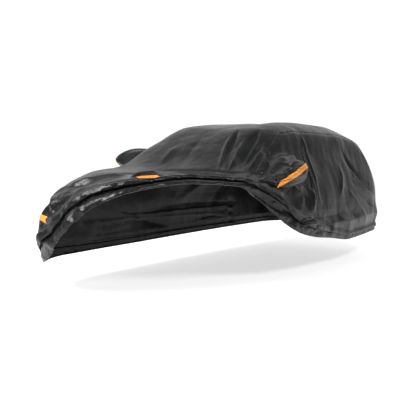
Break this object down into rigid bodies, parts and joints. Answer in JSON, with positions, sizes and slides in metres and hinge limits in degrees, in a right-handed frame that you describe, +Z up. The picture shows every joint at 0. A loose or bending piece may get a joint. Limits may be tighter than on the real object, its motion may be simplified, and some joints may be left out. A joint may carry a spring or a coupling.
{
  "type": "car cover",
  "caption": "Fitted cloth cover for a small hatchback, drawn back from its front left corner, with pockets for the door mirrors, a zip and reflective strips.",
  "frame": {"origin": "the point under the middle of the top cloth, where what is covered holds the cover up", "axes": "+Z up, +Y towards the rear, +X towards the left side"},
  "size_m": [1.992, 4.0946, 1.2591],
  "materials": {
    "cover_cloth": "coated woven polyester, half gloss, dark grey",
    "reflective_tape": "orange woven tape with a grey reflective middle line",
    "zip_tape": "black zip tape with fine coil teeth"
  },
  "bodies": {
    "root": {"top_panel": "cover_cloth", "side_panel_left": "cover_cloth", "side_panel_right": "cover_cloth", "mirror_pocket_left": "cover_cloth", "mirror_pocket_right": "cover_cloth", "strip_shelf": "reflective_tape", "strip_front": "reflective_tape", "strip_pocket_left": "reflective_tape", "strip_pocket_right": "reflective_tape", "strip_tail": "reflective_tape", "door_zip": "zip_tape"}
  },
  "joints": []
}
